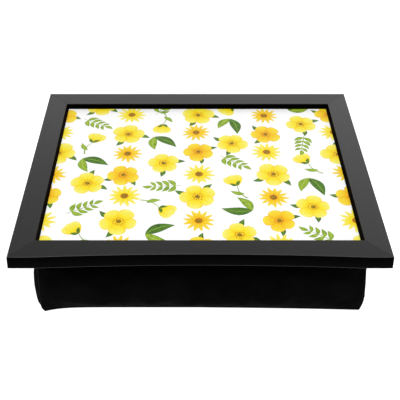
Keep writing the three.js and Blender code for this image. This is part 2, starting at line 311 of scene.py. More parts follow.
def matt_shaded_edge():
    # A darker, matt copy of the rail's finish for the faces turned from the lights: painted shade.
    finish = new_finish("matt_black_shaded_edge", grey(0.001), 0.6, Specular_IOR_Level=0.008)
    brush = speckle(finish, coordinates(finish, scale=(1, 1, 6)), 260)
    # Painted shade: the sides darken upwards from the foot, towards the arris.
    over_foot = calc(finish, "SUBTRACT", split(finish, coordinates(finish))[2], rail_low.z)
    painted_shade = calc(finish, "MULTIPLY", over_foot, EDGE_SHADE_RISE / RAIL_HEIGHT)
    brush_and_shade = calc(finish, "SUBTRACT", brush, painted_shade)
    tone = ramp(finish, brush_and_shade, (0.0, grey(0.0001)), (0.6, grey(0.003)))
    # The marked arrises are painted brown.
    feed(finish, "Base Color", mix(finish, wear_and_highlight_share(finish), tone, ARRIS_BROWN))
    bump(finish, brush, 0.04 * MM, 0.4)
    return finish


# Each rail's stain depth is set to how lit its top looks, so these are lit and shaded copies of one stain:
# painted light and shade.
LIT_AND_SHADED_FACES = {
    "front": stained_face("black_stain_painted_light_front", LONG_GRAIN, 0.004),
    "right": stained_face("black_stain_painted_light_right", SHORT_GRAIN, 0.017),
    "back": stained_face("black_stain_painted_light_back", LONG_GRAIN, 0.006),
    "left": stained_face("black_stain_painted_light_left", SHORT_GRAIN, 0.012),
}
EDGE_SHADE_FINISH = matt_shaded_edge()
print("frame finishes:", [finish.name for finish in (*LIT_AND_SHADED_FACES.values(), EDGE_SHADE_FINISH)])

# %% [markdown]
# ## Working by hand in a script
# An operator acts on whatever is selected, so each step starts by selecting one thing. These helpers do
# what a modeller does with the mouse: pick an object, step into edit mode, pick faces or edges by where
# they are, shape them, and come back out. A place is set while modelling and then applied, so every
# finished piece sits at the origin.

# %% Choose and edit
def choose(*things):
    """Select only these objects, with the last one active."""
    if bpy.context.mode != "OBJECT":
        bpy.ops.object.mode_set(mode="OBJECT")
    bpy.ops.object.select_all(action="DESELECT")
    for thing in things:
        thing.select_set(True)
    bpy.context.view_layer.objects.active = things[-1]


def pick_all():
    bpy.ops.mesh.select_all(action="SELECT")


def edit(thing):
    """Go into edit mode on one object, with all of it selected."""
    choose(thing)
    bpy.ops.object.mode_set(mode="EDIT")
    pick_all()


def leave_edit():
    bpy.ops.object.mode_set(mode="OBJECT")


def pick(kind, test):
    """In edit mode, select only the vertices, edges or faces that pass the test, and count them."""
    bpy.ops.mesh.select_mode(type=kind)
    bpy.ops.mesh.select_all(action="DESELECT")
    mesh = bpy.context.edit_object.data
    shape = bmesh.from_edit_mesh(mesh)
    parts = {"VERT": shape.verts, "EDGE": shape.edges, "FACE": shape.faces}[kind]
    picked = [part for part in parts if test(part)]
    for part in picked:
        part.select_set(True)
    shape.select_flush_mode()
    bmesh.update_edit_mesh(mesh)
    return len(picked)


def settle(thing):
    """Apply the object's place, turn and scale to its mesh."""
    choose(thing)
    bpy.ops.object.transform_apply(location=True, rotation=True, scale=True)


print("choosing:", [tool.__name__ for tool in (choose, edit, pick_all, pick, leave_edit, settle)])

# %% Shape what is picked
def move(x=0, y=0, z=0):
    bpy.ops.transform.translate(value=(x, y, z))


def resize(x=1, y=1, z=1):
    bpy.ops.transform.resize(value=(x, y, z))


def extrude(x=0, y=0, z=0):
    bpy.ops.mesh.extrude_region_move(TRANSFORM_OT_translate={"value": (x, y, z)})


def bevel(width, segments):
    bpy.ops.mesh.bevel(offset=width, segments=segments, affect="EDGES")


def cut(point, normal, drop=False):
    """Cut all of it with a plane. With drop, the side that the normal points to goes and the cut closes."""
    pick_all()
    bpy.ops.mesh.bisect(plane_co=point, plane_no=normal, clear_outer=drop, use_fill=drop)


def face_outwards():
    pick_all()
    bpy.ops.mesh.normals_make_consistent(inside=False)


def smooth(piece, degrees):
    """Shade a piece smooth, apart from edges that turn by more than this."""
    choose(piece)
    bpy.ops.object.shade_smooth_by_angle(angle=math.radians(degrees))


def apply_modifier(piece, kind, **settings):
    """Add a modifier, set it up and apply it."""
    choose(piece)
    bpy.ops.object.modifier_add(type=kind)
    modifier = piece.modifiers[-1]
    for name, value in settings.items():
        setattr(modifier, name, value)
    bpy.ops.object.modifier_apply(modifier=modifier.name)


def faces_of(piece):
    return len(piece.data.polygons)


print("shaping:", [tool.__name__ for tool in (move, resize, extrude, bevel, cut, face_outwards, smooth)])

# %% [markdown]
# ## A mitred rail
# A frame maker cuts one moulding to length and mitres its ends at 45 degrees. The same order works here.
# The section starts as a plane. Two cuts and a deleted corner give it the rebate that holds the boards,
# and two moved corners give it an outer face that splays to its foot and a sight edge that slopes down to
# the board. An extrude gives it length, bevels round the arrises, and two more cuts make the mitres. One
# function makes every rail from its length and turns it into place, so that all four have the same
# section. Only the front rail differs: its outer face is hollowed by a shallow curve towards the one who
# sits at it.

# %% The moulding's section
SIGHT_SLOPE = 2.2 * MM
FOOT_SPLAY = 1 * MM
UNDERSIDE_EASE = 0.2 * MM
BOARD_PLAY = 0.5 * MM
NEAR = 0.01 * MM

laminate_low, laminate_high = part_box("print_laminate")
TOP_HALF_WIDTH = CAD_HIGH.x - FOOT_SPLAY
TOP_HALF_DEPTH = CAD_HIGH.y - FOOT_SPLAY
RAIL_WIDTH = rail_high.y - rail_low.y - FOOT_SPLAY - SIGHT_SLOPE
LIP_LEVEL = laminate_high.z - rail_low.z
REBATE_WALL = TOP_HALF_WIDTH - laminate_high.x - BOARD_PLAY


def in_rebate(face):
    middle = face.calc_center_median()
    return middle.y > REBATE_WALL and middle.z < LIP_LEVEL


def section_plane():
    """The section, upright, with the top of its outer face at Y 0 and its underside just above Z 0."""
    bpy.ops.mesh.primitive_plane_add(size=1, rotation=(0, math.pi / 2, 0))
    section = bpy.context.object
    settle(section)
    edit(section)
    height = RAIL_HEIGHT - UNDERSIDE_EASE
    resize(1, RAIL_WIDTH, height)
    move(y=RAIL_WIDTH / 2, z=UNDERSIDE_EASE + height / 2)
    cut((0, REBATE_WALL, 0), (0, 1, 0))
    cut((0, 0, LIP_LEVEL), (0, 0, 1))
    pick("FACE", in_rebate)
    bpy.ops.mesh.delete(type="FACE")
    pick_all()
    bpy.ops.mesh.dissolve_limited()
    pick("VERT", lambda vertex: vertex.co.y > RAIL_WIDTH - NEAR and vertex.co.z < LIP_LEVEL + NEAR)
    move(y=SIGHT_SLOPE)
    pick("VERT", lambda vertex: vertex.co.y < NEAR and vertex.co.z < LIP_LEVEL)
    move(y=-FOOT_SPLAY)
    pick_all()
    move(x=-FOOT_SPLAY)
    return section


print("rail width and height:", in_mm((RAIL_WIDTH, RAIL_HEIGHT)), "mm")

# %% Ease the edges and cut the mitres
OUTER_ARRIS = 0.7 * MM
INNER_ARRIS = 0.7 * MM
FOOT_EASE = 0.6 * MM
MITRE_EASE = 0.12 * MM
MITRE_GAP = 0.1 * MM


def runs_along(edge):
    first, second = (vertex.co for vertex in edge.verts)
    return abs(first.y - second.y) < NEAR and abs(first.z - second.z) < NEAR


def long_edge_at(y, z):
    """A test for the edges that run along the rail at one place of its section."""
    def test(edge):
        place = edge.verts[0].co
        return runs_along(edge) and abs(place.y - y) < NEAR and abs(place.z - z) < NEAR
    return test


def ease_long_edges():
    """Round the two top arrises, and break the outer edge underneath."""
    for y, z, width, segments in (
        (0, RAIL_HEIGHT, OUTER_ARRIS, 4),
        (RAIL_WIDTH, RAIL_HEIGHT, INNER_ARRIS, 5),
        (-FOOT_SPLAY, UNDERSIDE_EASE, FOOT_EASE, 2),
    ):
        pick("EDGE", long_edge_at(y, z))
        bevel(width, segments)


def cut_mitres(length):
    """Cut both ends at 45 degrees, and ease the sharp edges that the cuts leave on the faces that show."""
    set_back = MITRE_GAP / math.sqrt(2)
    cut((set_back, 0, 0), (-1, 1, 0), drop=True)
    cut((length - set_back, 0, 0), (1, 1, 0), drop=True)

    def is_mitre_edge(edge):
        ends = [vertex.co for vertex in edge.verts]
        from_mitre = [min(end.x, length - end.x) - end.y - set_back for end in ends]
        on_top = min(end.z for end in ends) > RAIL_HEIGHT - OUTER_ARRIS - NEAR
        on_outer_face = max(end.y for end in ends) < NEAR
        return max(abs(gap) for gap in from_mitre) < NEAR and (on_top or on_outer_face)

    pick("EDGE", is_mitre_edge)
    bevel(MITRE_EASE, 2)


print("arrises", in_mm((OUTER_ARRIS, INNER_ARRIS)), "mm round")

# %% Hollow, mark and finish a rail
FRONT_HOLLOW = 5 * MM
HOLLOW_CUTS = 31
RAIL_SMOOTH = 30
LEANING = 0.3
LOOKING_UP = 0.4
LOOKING_DOWN = -0.95


def divide_length():
    """Divide the rail along its length, so that its outer face can be curved."""
    pick("EDGE", runs_along)
    bpy.ops.mesh.subdivide(number_cuts=HOLLOW_CUTS)


def hollow_outer_face(rail, length):
    """Move the outer half of the section inwards by a curve that runs from mitre to mitre."""
    half_span = length / 2 - RAIL_WIDTH
    for vertex in rail.data.vertices:
        if vertex.co.y < REBATE_WALL / 2:
            vertex.co.y += FRONT_HOLLOW * max(0, 1 - ((vertex.co.x - length / 2) / half_span) ** 2)


def mark_wear_and_highlight(rail):
    """Mark wear and painted highlight: 1 along the rounded arrises and the foot, 0 on the flats."""
    wear_and_highlight = rail.data.attributes.new("wear_and_highlight", "FLOAT", "POINT")
    for vertex, mark in zip(rail.data.vertices, wear_and_highlight.data):
        y, z = vertex.co.yz
        arris = INNER_ARRIS if y > RAIL_WIDTH / 2 else OUTER_ARRIS
        on_arris = RAIL_HEIGHT - arris + NEAR < z < RAIL_HEIGHT - NEAR
        on_foot = y < FOOT_EASE + FRONT_HOLLOW and NEAR < z - UNDERSIDE_EASE < FOOT_EASE - NEAR
        mark.value = float(on_arris or on_foot)


def is_satin(normal):
    """Whether a face is satin, by the way it looks: the top, the outer arris and the broken foot; the rest
    get painted shade.
    """
    at_foot = normal.y < -LEANING and LOOKING_DOWN < normal.z < -LEANING
    on_top = normal.z > LOOKING_UP and normal.y <= LEANING
    return at_foot or on_top


def finish_rail(rail, side):
    rail.data.materials.append(LIT_AND_SHADED_FACES[side])
    rail.data.materials.append(EDGE_SHADE_FINISH)
    for face in rail.data.polygons:
        face.material_index = 0 if is_satin(face.normal) else 1
    smooth(rail, RAIL_SMOOTH)


print("front rail hollowed by", FRONT_HOLLOW / MM, "mm")

# %% Model the four rails
SIDES = ("front", "right", "back", "left")


def half_sizes(quarter):
    """Half the frame's size along a side and across it. Sides are quarter turns from the front."""
    sizes = (TOP_HALF_WIDTH, TOP_HALF_DEPTH)
    return sizes if quarter % 2 == 0 else sizes[::-1]


def place_rail(rail, quarter):
    """Turn the rail to its side of the frame."""
    turn = Matrix.Rotation(quarter * math.pi / 2, 4, "Z")
    half_length, half_across = half_sizes(quarter)
    corner = turn @ Vector((-half_length, -half_across, rail_low.z))
    rail.matrix_world = Matrix.Translation(corner) @ turn
    settle(rail)


def mould_rail(side, quarter):
    length = 2 * half_sizes(quarter)[0]
    rail = section_plane()
    pick_all()
    extrude(x=length + 2 * FOOT_SPLAY)
    face_outwards()
    if side == "front":
        divide_length()
    ease_long_edges()
    cut_mitres(length)
    leave_edit()
    rail.name = f"{side}_moulding"
    if side == "front":
        hollow_outer_face(rail, length)
    mark_wear_and_highlight(rail)
    finish_rail(rail, side)
    place_rail(rail, quarter)
    apply_modifier(rail, "WEIGHTED_NORMAL", keep_sharp=True)
    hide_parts(f"{side}_rail")
    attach(rail, "tray")
    return rail


rails = [mould_rail(side, quarter) for quarter, side in enumerate(SIDES)]
print("rails:", [(rail.name, faces_of(rail)) for rail in rails])

# %% [markdown]
# ## The boards, nails and points
# These parts are right as they were packed: flat boards and small steel fasteners, which only need a
# finish. The board under the print is fibreboard. The one that closes the frame from below is hardboard,
# which is brown, dense and slightly marbled. The nails and points are spring steel, blued by its hardening.

# %% Finish the hidden parts
def pressed_board(name, pale, dark, fibre_scale, roughness):
    finish = new_finish(name, pale, roughness, Specular_IOR_Level=0.25)
    vector = coordinates(finish)
    fibres = speckle(finish, vector, fibre_scale, detail=8, roughness=0.7)
    clouds = speckle(finish, vector, fibre_scale / 14, detail=3)
    tone = ramp(finish, fibres, (0.3, dark), (0.68, pale))
    shade = ramp(finish, clouds, (0.3, grey(0.8)), (0.7, grey(1.0)))
    feed(finish, "Base Color", mix(finish, 1.0, tone, shade, "MULTIPLY"))
    bump(finish, fibres, 0.06 * MM, 0.6)
    return finish


def blued_steel():
    finish = new_finish("blued_steel", (0.42, 0.43, 0.45), 0.32, Metallic=1.0)
    scratches = speckle(finish, coordinates(finish, scale=(1, 12, 1)), 700, detail=3)
    tone = ramp(finish, scratches, (0.3, (0.28, 0.29, 0.32)), (0.7, (0.5, 0.51, 0.52)))
    feed(finish, "Base Color", tone)
    feed(finish, "Roughness", ramp(finish, scratches, (0.3, grey(0.45)), (0.7, grey(0.26))))
    return finish


FIBREBOARD = pressed_board("fibreboard", (0.36, 0.23, 0.12), (0.24, 0.15, 0.08), 900, 0.9)
HARDBOARD = pressed_board("hardboard", (0.13, 0.068, 0.032), (0.075, 0.036, 0.016), 520, 0.55)
STEEL = blued_steel()
dress(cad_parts["print_board"], FIBREBOARD)
dress(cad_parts["backing_board"], HARDBOARD)
fasteners = [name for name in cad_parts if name.startswith(("v_nail", "flexi_point"))]
for name in fasteners:
    dress(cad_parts[name], STEEL)
print("two boards finished, and", len(fasteners), "steel fasteners")

# %% [markdown]
# ## The laminate
# The board's face is a white melamine sheet, hard and wipe-clean. Its low gloss varies a little where it
# has been wiped, which a slow, stretched noise in the roughness gives.

# %% Finish the laminate
def white_laminate():
    finish = new_finish("white_laminate", grey(0.9), 0.42, Specular_IOR_Level=0.25)
    wiped = speckle(finish, coordinates(finish, scale=(1, 3, 1)), 18, detail=5)
    feed(finish, "Roughness", ramp(finish, wiped, (0.3, grey(0.37)), (0.7, grey(0.47))))
    feed(finish, "Base Color", ramp(finish, wiped, (0.3, grey(0.94)), (0.7, grey(0.97))))
    return finish


dress(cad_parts["print_laminate"], white_laminate())
print("laminate", in_mm(laminate_high - laminate_low), "mm")

# %% [markdown]
# ## Watercolours for the print
# The sheet is printed with loose yellow blossoms and green leaves, as if in watercolour. A wash is deep
# where a brush stroke starts and pale where it ends, darker along its edge where the pigment dries, and
# cloudy all over. Each stroke has a UV map, U along it and V across, so the washes can follow it.

# %% Washes that follow a stroke
def printed_finish(name, colour):
    return new_finish(name, colour, 0.44, Specular_IOR_Level=0.2)


def across_stroke(finish, vector):
    """How far a point is from the stroke's middle line, from 0 there to 1 at its edges."""
    side = calc(finish, "SUBTRACT", split(finish, vector)[1], 0.5)
    return calc(finish, "MULTIPLY", calc(finish, "ABSOLUTE", side), 2.0)


def petal_wash(name, heart, middle, tip):
    """A petal, from its deep heart to its pale tip, with fine veins and a darker dried edge."""
    finish = printed_finish(name, middle)
    vector = coordinates(finish, "UV")
    clouds = speckle(finish, coordinates(finish), 150, detail=5, roughness=0.6)
    drift = calc(finish, "MULTIPLY", calc(finish, "SUBTRACT", clouds, 0.5), 0.5)
    flow = calc(finish, "ADD", split(finish, vector)[0], drift)
    wash = ramp(finish, flow, (0.05, heart), (0.42, middle), (0.95, tip))
    veins = speckle(finish, coordinates(finish, "UV", (1.2, 22, 1)), 1.6, detail=2)
    vein_tone = ramp(finish, veins, (0.35, grey(0.72)), (0.6, grey(1.0)))
    veined = mix(finish, 0.35, wash, vein_tone, "MULTIPLY")
    edge = ramp(finish, across_stroke(finish, vector), (0.8, grey(0.0)), (1.0, grey(0.75)))
    feed(finish, "Base Color", mix(finish, edge, veined, heart))
    return finish


def leaf_wash(name, dark, fresh, rib):
    """A leaf with a pale midrib and side veins that sweep from it to the edge."""
    finish = printed_finish(name, fresh)
    vector = coordinates(finish, "UV")
    across = across_stroke(finish, vector)
    clouds = speckle(finish, coordinates(finish), 110, detail=5, roughness=0.6)
    wash = ramp(finish, clouds, (0.32, dark), (0.52, fresh), (0.72, dark))
    along = calc(finish, "MULTIPLY", split(finish, vector)[0], 9.0)
    slant = calc(finish, "MULTIPLY", across, 2.2)
    sweep = calc(finish, "FRACT", calc(finish, "SUBTRACT", along, slant))
    from_vein = calc(finish, "ABSOLUTE", calc(finish, "SUBTRACT", sweep, 0.5))
    veined = mix(finish, ramp(finish, from_vein, (0.0, grey(0.45)), (0.09, grey(0.0))), wash, rib)
    ribbed = mix(finish, ramp(finish, across, (0.03, grey(1.0)), (0.1, grey(0.0))), veined, rib)
    edge = ramp(finish, across, (0.82, grey(0.0)), (1.0, grey(0.8)))
    feed(finish, "Base Color", mix(finish, edge, ribbed, dark))
    return finish


print("washes that follow a stroke:", [wash.__name__ for wash in (petal_wash, leaf_wash)])

# %% Mix the watercolours
def dot_wash(name, colour, deep):
    finish = printed_finish(name, colour)
    clouds = speckle(finish, coordinates(finish), 420, detail=3)
    feed(finish, "Base Color", ramp(finish, clouds, (0.35, deep), (0.65, colour)))
    return finish


WASHES = {
    "yellow_petals": petal_wash(
        "yellow_wash", heart=(0.9, 0.56, 0.006), middle=(0.94, 0.77, 0.015), tip=(0.95, 0.88, 0.17)
    ),
    "amber_petals": petal_wash(
        "amber_wash", heart=(0.86, 0.38, 0.003), middle=(0.92, 0.58, 0.006), tip=(0.94, 0.76, 0.05)
    ),
    "dark_leaves": leaf_wash(
        "dark_leaf_wash", dark=(0.02, 0.08, 0.006), fresh=(0.07, 0.2, 0.012), rib=(0.3, 0.42, 0.07)
    ),
    "fresh_leaves": leaf_wash(
        "fresh_leaf_wash", dark=(0.11, 0.25, 0.01), fresh=(0.29, 0.44, 0.02), rib=(0.54, 0.6, 0.14)
    ),
    "hearts": dot_wash("heart_wash", colour=(0.4, 0.24, 0.008), deep=(0.2, 0.14, 0.006)),
    "stamens": dot_wash("stamen_wash", colour=(0.62, 0.16, 0.003), deep=(0.36, 0.07, 0.001)),
}
print("washes:", ", ".join(WASHES))

# %% [markdown]
# ## Brush strokes as blanks
# Each kind of stroke, from a broad petal to a dot, is modelled once, as a blank of length 1 and width 1,
# and every stroke of the print is a scaled copy. A blank is a grid whose width follows a formula along its
# length, and an extrude makes it a closed film of ink. A flat picture on the board would do as well, but
# strokes of real geometry keep crisp edges from any distance.

# %% Outlines of the strokes
def petal_width(share):
    """Narrow at the heart, broadest two thirds of the way out, with a round end."""
    heart = 0.2
    broadest = 0.64
    if share < broadest:
        return heart + (1 - heart) * math.sin(math.pi / 2 * share / broadest)
    return math.sqrt(max(0.0, 1 - ((share - broadest) / (1 - broadest)) ** 2))


def ray_width(share):
    """A slender petal with two rounded ends."""
    start = 0.08
    return max(0.0, math.sin(math.pi * (start + (1 - start) * share))) ** 0.55


def leaf_width(share):
    """Pointed at both ends, and broadest before the middle."""
    return max(0.0, math.sin(math.pi * share ** 0.8))


def stem_width(share):
    return 1.0 - 0.6 * share


print("outlines:", [width.__name__ for width in (petal_width, ray_width, leaf_width, stem_width)])

# %% Model the blanks
STROKE_STEPS = 11
STROKE_ROWS = 2
DOT_SIDES = 14
POINT_MERGE = 0.001
LEAF_BOW = 0.25
STEM_BOW = 2.0
FLAT = 0.9


def faces_down(face):
    return face.normal.z < -FLAT


def stroke_blank(name, width_at, bow=0.0):
    """A closed film, 1 long, 1 wide and 1 thick, that bows sideways by a share of its width. Its steps are
    shortest at its ends, where the outline turns most."""
    bpy.ops.mesh.primitive_grid_add(x_subdivisions=STROKE_STEPS, y_subdivisions=STROKE_ROWS, size=1)
    blank = new_piece(name)
    for vertex in blank.data.vertices:
        share = (1 + math.sin(math.pi * vertex.co.x)) / 2
        vertex.co.x = share
        vertex.co.y = vertex.co.y * width_at(share) + 4 * bow * share * (1 - share)
    for loop, mark in zip(blank.data.loops, blank.data.uv_layers.active.data):
        mark.uv.x = blank.data.vertices[loop.vertex_index].co.x
    edit(blank)
    bpy.ops.mesh.remove_doubles(threshold=POINT_MERGE)
    pick_all()
    extrude(z=1)
    face_outwards()
    pick("FACE", faces_down)
    bpy.ops.mesh.dissolve_faces()
    leave_edit()
    return blank


def dot_blank():
    bpy.ops.mesh.primitive_circle_add(vertices=DOT_SIDES, radius=0.5, fill_type="TRIFAN")
    blank = new_piece("dot_blank")
    edit(blank)
    extrude(z=1)
    face_outwards()
    leave_edit()
    return blank


BLANKS = {
    "petal": stroke_blank("petal_blank", petal_width),
    "ray": stroke_blank("ray_blank", ray_width),
    "leaf": stroke_blank("leaf_blank", leaf_width, bow=LEAF_BOW),
    "twin_leaf": stroke_blank("twin_leaf_blank", leaf_width, bow=-LEAF_BOW),
    "stem": stroke_blank("stem_blank", stem_width, bow=STEM_BOW),
    "dot": dot_blank(),
}
print("blanks:", {name: faces_of(blank) for name, blank in BLANKS.items()})

# %% [markdown]
# ## Motifs and layout
# Five small motifs make the print: an open blossom, a daisy, a bud, a leaf pair and a sprig. Each is a
# short recipe of strokes, with lengths as shares of the motif's size, angles in radians, and the layer of
# ink that the stroke lies on. The motifs stand on a half-drop layout, the usual repeat of printed cloth, in
# which every other column is shifted by half a step, with a seeded shake and turn so that it looks
# hand-laid. What runs past the rim's inner edge is cut off there.

# %% Lay a stroke
INK_LAYER = 0.02 * MM
strokes = {wash: [] for wash in WASHES}


def copy_of(thing):
    """A copy with its own mesh."""
    twin = thing.copy()
    twin.data = thing.data.copy()
    bpy.context.scene.collection.objects.link(twin)
    return twin


def stroke(blank, wash, at, angle, length, width, layer):
    """Lay one stroke on the laminate from a point, at an angle, on top of a number of layers."""
    copy = copy_of(BLANKS[blank])
    copy.location = (at.x, at.y, laminate_high.z)
    copy.rotation_euler.z = angle
    copy.scale = (length, width, INK_LAYER * layer)
    strokes[wash].append(copy)


def dot(wash, at, size, layer):
    stroke("dot", wash, at, 0, size, size, layer)


def polar(at, angle, distance):
    return at + Vector((math.cos(angle), math.sin(angle))) * distance


print("a layer of ink is", INK_LAYER / MM, "mm thick")

# %% Recipes for the flowers
SEED = 11
dice = random.Random(SEED)


def blossom(at, turn, size, wash):
    """Five broad petals over two leaves, each lapping over the last, round a heart ringed with stamens."""
    for lean in (0.3, 2.1):
        angle = turn + lean
        stroke("leaf", "dark_leaves", polar(at, angle, size * 0.3), angle, size * 0.42, size * 0.18, 1)
    for index in range(5):
        angle = turn + index * math.tau / 5 + dice.uniform(-0.08, 0.08)
        length = size * dice.uniform(0.47, 0.53)
        stroke("petal", wash, polar(at, angle, size * 0.03), angle, length, length * 0.94, 2 + index)
    dot("hearts", at, size * 0.15, 8)
    for index in range(13):
        angle = turn + index * math.tau / 13
        dot("stamens", polar(at, angle, size * dice.uniform(0.1, 0.17)), size * 0.035, 9)


def daisy(at, turn, size, wash):
    """Two rings of slender petals round a domed heart."""
    for ring, count, reach in ((0, 13, 0.5), (1, 9, 0.36)):
        for index in range(count):
            angle = turn + (index + ring * 0.5) * math.tau / count
            length = size * reach * dice.uniform(0.92, 1.05)
            layer = 2 + 3 * ring + index % 2
            stroke("ray", wash, polar(at, angle, size * 0.04), angle, length, size * 0.13, layer)
    dot("stamens", at, size * 0.26, 8)
    dot("hearts", at, size * 0.19, 9)


def bud(at, turn, size, wash):
    """A cup of three petals on a bowed stem with one leaf, held by two small green sepals."""
    foot = polar(at, turn + math.pi, size * 0.62)
    stroke("stem", "fresh_leaves", foot, turn, size * 0.62, size * 0.045, 1)
    for layer, lean in ((2, -0.42), (3, 0.42), (4, 0.0)):
        stroke("petal", wash, at, turn + lean, size * 0.5, size * 0.3, layer)
    for lean in (-0.75, 0.75):
        stroke("leaf", "dark_leaves", at, turn + lean, size * 0.24, size * 0.1, 5)
    joint = polar(foot, turn, size * 0.2)
    stroke("leaf", "fresh_leaves", joint, turn + 0.8, size * 0.42, size * 0.15, 2)


print("flowers:", [recipe.__name__ for recipe in (blossom, daisy, bud)])

# %% Recipes for the leaves
def leaf_pair(at, turn, size, wash):
    """Two bowed leaves from one point."""
    foot = polar(at, turn + math.pi, size * 0.4)
    stroke("leaf", wash, foot, turn + 0.3, size * 0.95, size * 0.36, 2)
    stroke("twin_leaf", "fresh_leaves", foot, turn - 0.55, size * 0.75, size * 0.3, 3)


def sprig(at, turn, size, wash):
    """Leaflets in pairs along a straight stalk, with one at its end."""
    foot = polar(at, turn + math.pi, size * 0.5)
    stroke("ray", "fresh_leaves", foot, turn, size * 0.86, size * 0.025, 1)
    for index in range(4):
        joint = polar(foot, turn, size * (0.16 + 0.19 * index))
        length = size * (0.36 - 0.035 * index)
        for blank, lean in (("leaf", 0.85), ("twin_leaf", -0.85)):
            stroke(blank, wash, joint, turn + lean, length, length * 0.42, 2)
    stroke("leaf", wash, polar(foot, turn, size * 0.82), turn, size * 0.3, size * 0.13, 3)


print("leaves:", [recipe.__name__ for recipe in (leaf_pair, sprig)])

# %% Lay the motifs out
COLUMNS = 9
ROWS = 7
COLUMN_STEP = 47 * MM
ROW_STEP = 45 * MM
HALF_DROP = 0.25
SHAKE = 3 * MM
MOTIFS = (
    (blossom, 43 * MM, "yellow_petals"),
    (leaf_pair, 40 * MM, "dark_leaves"),
    (daisy, 38 * MM, "yellow_petals"),
    (bud, 44 * MM, "yellow_petals"),
    (blossom, 38 * MM, "amber_petals"),
    (sprig, 44 * MM, "fresh_leaves"),
    (daisy, 36 * MM, "amber_petals"),
    (blossom, 40 * MM, "yellow_petals"),
)
SKIP_BY_COLUMN = 3
SKIP_BY_ROW = 2


def layout_point(column, row):
    """A place on the half-drop layout, shaken a little."""
    drop = HALF_DROP if column % 2 else -HALF_DROP
    x = (column - (COLUMNS - 1) / 2) * COLUMN_STEP
    y = (row - (ROWS - 1) / 2 + drop) * ROW_STEP
    return Vector((x + dice.uniform(-SHAKE, SHAKE), y + dice.uniform(-SHAKE, SHAKE)))


for column in range(COLUMNS):
    for row in range(ROWS):
        number = column * SKIP_BY_COLUMN + row * SKIP_BY_ROW
        recipe, motif_size, wash = MOTIFS[number % len(MOTIFS)]
        recipe(layout_point(column, row), dice.uniform(0, math.tau), motif_size, wash)
print(sum(len(copies) for copies in strokes.values()), "strokes laid")

# %% Join and crop each wash
SIGHT_MARGIN = 0.05 * MM


def joined(things, name):
    """Join several objects into one named piece at the origin."""
    choose(*things)
    bpy.ops.object.join()
    whole = new_piece(name)
    settle(whole)
    return whole


def discard(thing):
    choose(thing)
    bpy.ops.object.delete()


def crop(point, normal):
    """Cut off what is past a plane. Strokes overlap, so each one's cut end is closed by itself."""
    pick_all()
    bpy.ops.mesh.bisect(plane_co=point, plane_no=normal, clear_outer=True)
    pick_all()
    bpy.ops.mesh.fill_holes(sides=0)


def crop_to_sight(layer):
    """Cut off what runs under the rim's lip."""
    half_width = TOP_HALF_WIDTH - RAIL_WIDTH - SIGHT_SLOPE - SIGHT_MARGIN
    half_depth = TOP_HALF_DEPTH - RAIL_WIDTH - SIGHT_SLOPE - SIGHT_MARGIN
    edit(layer)
    for side in (-1, 1):
        crop((side * half_width, 0, 0), (side, 0, 0))
        crop((0, side * half_depth, 0), (0, side, 0))
    face_outwards()
    leave_edit()


for wash, copies in strokes.items():
    layer = joined(copies, f"printed_{wash}")
    crop_to_sight(layer)
    dress(layer, WASHES[wash])
    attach(layer, "tray")
    print(layer.name, faces_of(layer), "faces")
for blank in BLANKS.values():
    discard(blank)

# %% [markdown]
# ## The cushion's cloth
# The cover is a plain black polyester weave with a brushed face. Its threads are too fine to model one by
# one, so they are bump: a checker says which thread is on top, and a sine across each thread rounds it.
# The UV map is laid on the flat panels before they are filled, so the threads follow the cloth. Painted
# shade makes the cloth darkest under the rim and palest at the foot. A soft sheen at grazing angles is
# what tells brushed cloth from painted board.

# %% Fabric finishes
CUSHION_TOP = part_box("cushion_top_panel")[1].z
THREAD = 0.9 * MM
TOP_SHADE_FALL = 0.5
CLOTH_SHADED_TOP = (0.0006, 0.0005, 0.0006)
CLOTH_LIT_FOOT = (0.003, 0.0025, 0.0028)
SEAM_HIGHLIGHT_SHADED_TOP = (0.006, 0.0052, 0.0056)
SEAM_HIGHLIGHT_LIT_FOOT = (0.01, 0.0088, 0.0094)
LINT = grey(0.02)


def cloth_finish(name):
    constants = {"Specular_IOR_Level": 0.012, "Sheen_Weight": 0.006, "Sheen_Roughness": 0.4}
    return new_finish(name, CLOTH_SHADED_TOP, 0.85, **constants)


def cloth_tone(finish, dark, lit_tone):
    """Slightly uneven dye, with painted shade that darkens it upwards towards the rim, and a little pale
    lint.
    """
    vector = coordinates(finish)
    dye = speckle(finish, vector, 26, detail=5)
    # Painted shade: the cloth darkens upwards, from the foot to the rim.
    painted_shade = calc(finish, "MULTIPLY", split(finish, vector)[2], TOP_SHADE_FALL / CUSHION_TOP)
    tone = ramp(finish, calc(finish, "SUBTRACT", dye, painted_shade), (0.1, dark), (0.5, lit_tone))
    lint = ramp(finish, speckle(finish, vector, 520, detail=2), (0.74, grey(0.0)), (0.8, grey(0.25)))
    feed(finish, "Base Color", mix(finish, lint, tone, LINT))


def thread_height(finish, place):
    """How high a thread stands across its width."""
    return calc(finish, "ABSOLUTE", calc(finish, "SINE", calc(finish, "MULTIPLY", place, math.pi)))


def woven_cover():
    finish = cloth_finish("black_woven_cover")
    cloth_tone(finish, CLOTH_SHADED_TOP, CLOTH_LIT_FOOT)
    threads = coordinates(finish, "UV", (1 / THREAD, 1 / THREAD, 1))
    over = add_node(finish, "ShaderNodeTexChecker", {"Vector": threads, "Scale": 1.0}).outputs["Fac"]
    under = calc(finish, "SUBTRACT", 1.0, over)
    along, across, _ = split(finish, threads)
    weft = calc(finish, "MULTIPLY", under, thread_height(finish, across))
    height = calc(finish, "MULTIPLY_ADD", over, thread_height(finish, along), weft)
    bump(finish, height, 0.2 * MM, 0.8)
    return finish


